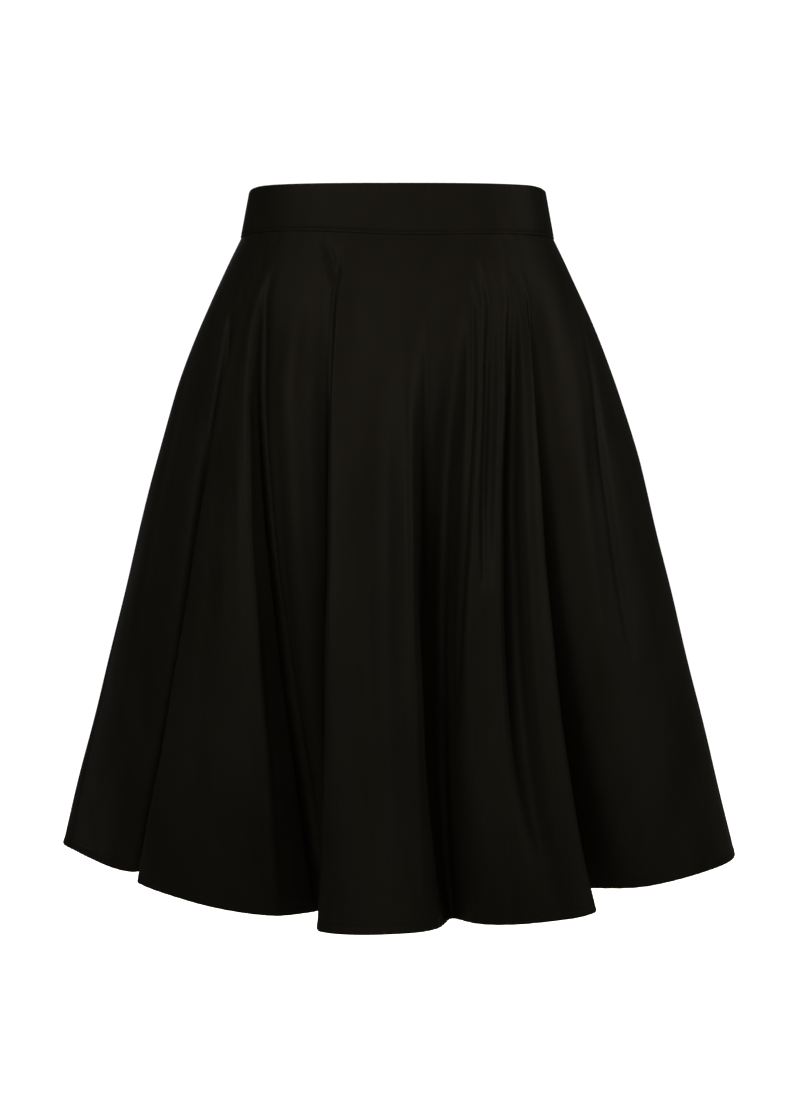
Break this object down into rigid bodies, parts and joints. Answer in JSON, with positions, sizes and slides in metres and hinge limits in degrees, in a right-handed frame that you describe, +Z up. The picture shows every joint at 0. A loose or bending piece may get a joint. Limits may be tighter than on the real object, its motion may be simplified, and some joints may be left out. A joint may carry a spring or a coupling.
{
  "type": "circle skirt",
  "caption": "Knee-length flared skirt with a wide plain waistband, worn and hollow, hanging in deep soft folds, with a concealed zip at the back.",
  "frame": {"origin": "on the axis of the waist, at half the height of the waistband's front, where the wearer's waist holds the skirt", "axes": "+Z up along the body, the front faces -Y, +X is to the right of someone who faces the front, which is the wearer's left"},
  "size_m": [0.6052, 0.4913, 0.6157],
  "materials": {
    "cloth": "black sateen with a soft sheen",
    "zip_tape": "black woven tape, matt",
    "zip_metal": "black lacquer, semi-gloss"
  },
  "bodies": {
    "skirt": {"skirt_front": "cloth", "skirt_back_left": "cloth", "skirt_back_right": "cloth", "waistband_front": "cloth", "waistband_back_left": "cloth", "waistband_back_right": "cloth", "zip_tape_left": "zip_tape", "zip_tape_right": "zip_tape", "zip_slider": "zip_metal"},
    "zip_pull": {"zip_pull": "zip_metal"}
  },
  "joints": [
    {"name": "pull_swing", "type": "hinge", "parent": "skirt", "child": "zip_pull", "pos_m": [0, 0.09607, 0.008], "axis": [1, 0, 0], "range_deg": [0, 150]}
  ]
}
